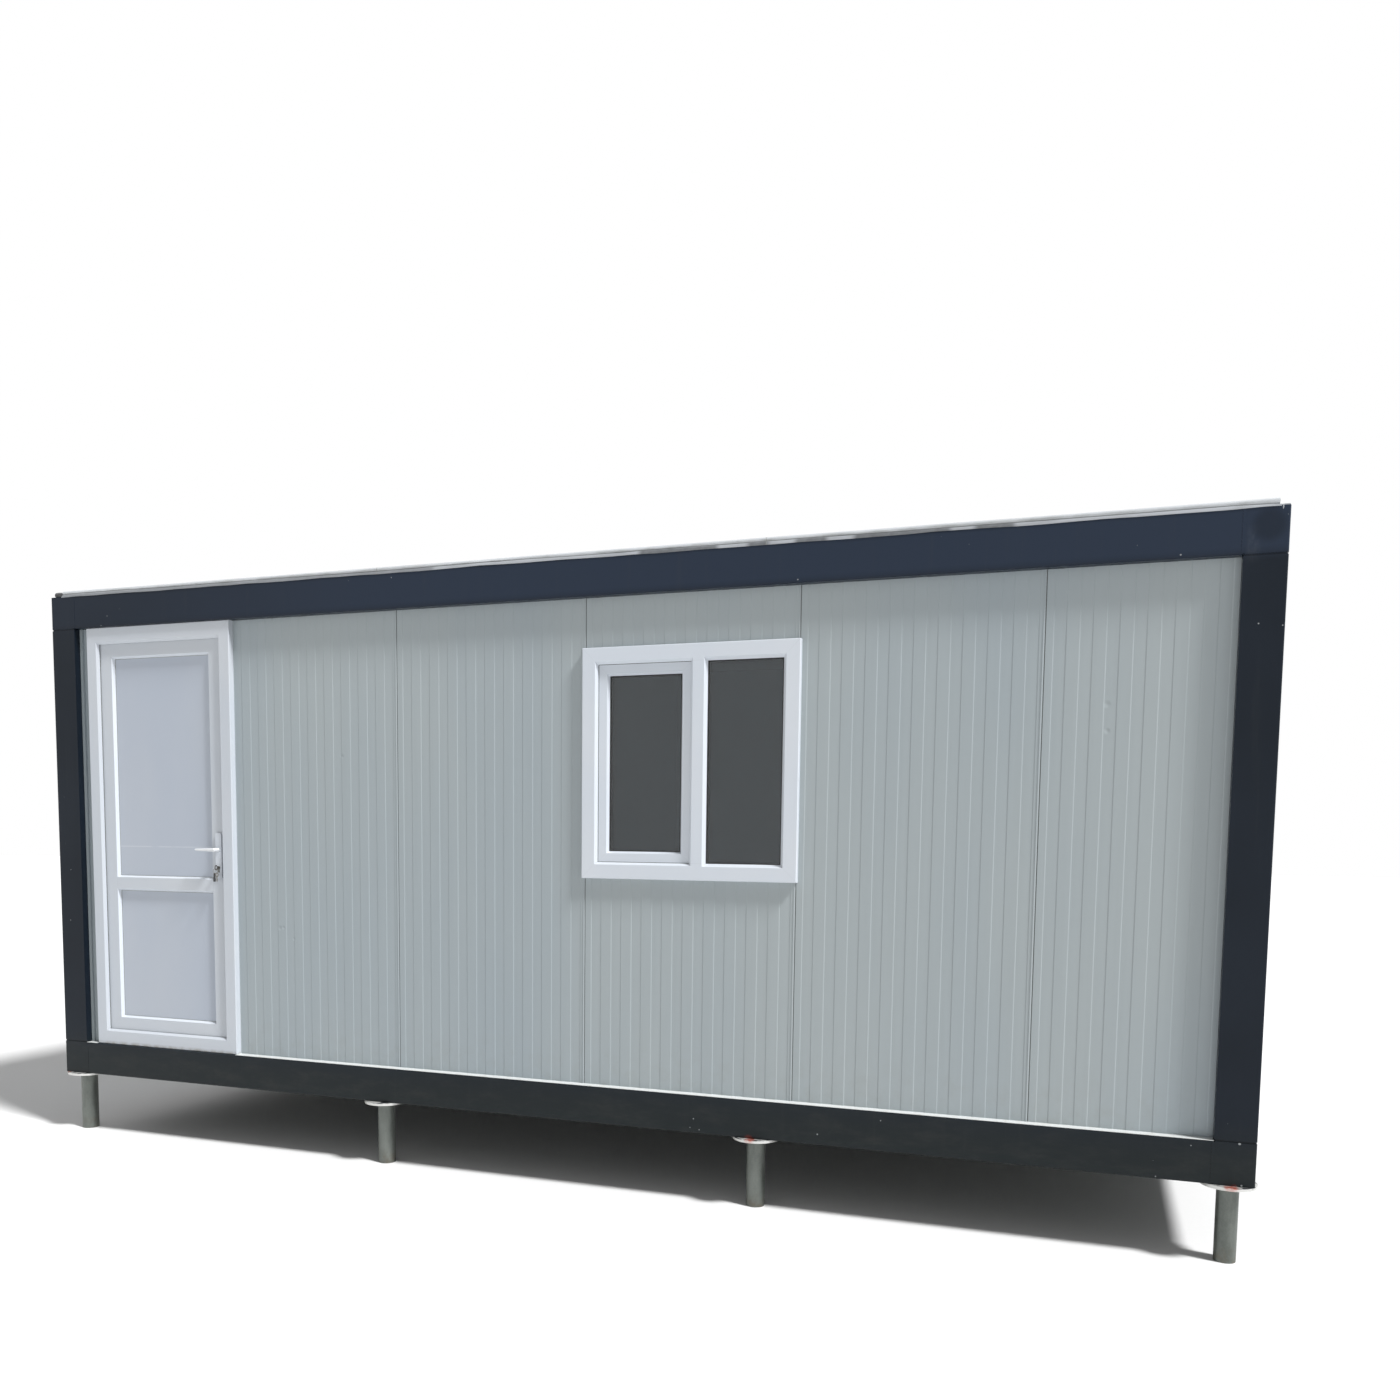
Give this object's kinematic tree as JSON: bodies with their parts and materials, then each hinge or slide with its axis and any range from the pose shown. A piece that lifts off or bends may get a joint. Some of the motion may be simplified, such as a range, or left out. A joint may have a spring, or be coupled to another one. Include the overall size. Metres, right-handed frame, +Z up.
{
  "type": "portable site cabin",
  "caption": "Portable flat-roofed site cabin on round steel legs: corner-post frame, ribbed sandwich walls, a two-light window and a panelled door with lever handles.",
  "frame": {"origin": "middle of the plan, at the level where the legs meet the ground", "axes": "+Z up, +X along the cabin to the right as seen from the door side, door and window on the -Y side"},
  "size_m": [6.034, 2.4676, 2.928],
  "materials": {
    "anthracite_paint": "satin",
    "primed_steel": "matte",
    "floor_wood": "matte",
    "galvanised_steel": "dull zinc",
    "white_lining": "satin",
    "white_membrane": "matte",
    "light_grey_sheet": "satin",
    "white_pvc": "gloss",
    "white_fittings": "gloss",
    "nickel": "satin",
    "window_glass": "clear"
  },
  "bodies": {
    "cabin": {"front_floor_beam": "anthracite_paint", "back_floor_beam": "anthracite_paint", "left_floor_beam": "anthracite_paint", "right_floor_beam": "anthracite_paint", "floor_corner_blocks": "anthracite_paint", "floor_joists": "primed_steel", "floor_board": "floor_wood", "underfloor_sheet": "galvanised_steel", "front_roof_beam": "anthracite_paint", "back_roof_beam": "anthracite_paint", "left_roof_beam": "anthracite_paint", "right_roof_beam": "anthracite_paint", "roof_corner_blocks": "anthracite_paint", "roof_joists": "primed_steel", "ceiling_lining": "white_lining", "roof_deck": "galvanised_steel", "roof_covering": "white_membrane", "front_left_post": "anthracite_paint", "front_right_post": "anthracite_paint", "back_left_post": "anthracite_paint", "back_right_post": "anthracite_paint", "base_sheets": "light_grey_sheet", "filler_strip": "light_grey_sheet", "front_panel_1": "light_grey_sheet", "front_panel_2": "light_grey_sheet", "panel_over_window": "light_grey_sheet", "panel_under_window": "light_grey_sheet", "front_panel_4": "light_grey_sheet", "front_panel_5": "light_grey_sheet", "back_wall": "light_grey_sheet", "left_wall": "light_grey_sheet", "right_wall": "light_grey_sheet", "door_frame": "white_pvc", "frame_hinges": "white_fittings", "window_frame": "white_pvc", "window_sash": "white_pvc", "window_beads": "white_pvc", "window_glass": "window_glass", "glass_spacers": "nickel", "window_handle": "white_fittings", "front_legs": "galvanised_steel", "back_legs": "galvanised_steel"},
    "door": {"door_leaf": "white_pvc", "door_infills": "white_pvc", "door_beads": "white_pvc", "leaf_hinges": "white_fittings", "door_plates": "white_fittings", "door_lock": "nickel"},
    "lever": {"door_lever": "white_fittings"}
  },
  "joints": [
    {"name": "door_swing", "type": "hinge", "parent": "cabin", "child": "door", "pos_m": [-2.721, -1.087, 1.593], "axis": [0, 0, 1], "range_deg": [0, 95]},
    {"name": "lever_turn", "type": "hinge", "parent": "door", "child": "lever", "pos_m": [-1.944, -1.132, 1.56], "axis": [0, -1, 0], "range_deg": [0, 40], "stiffness_Nm_per_rad": 1.2}
  ]
}
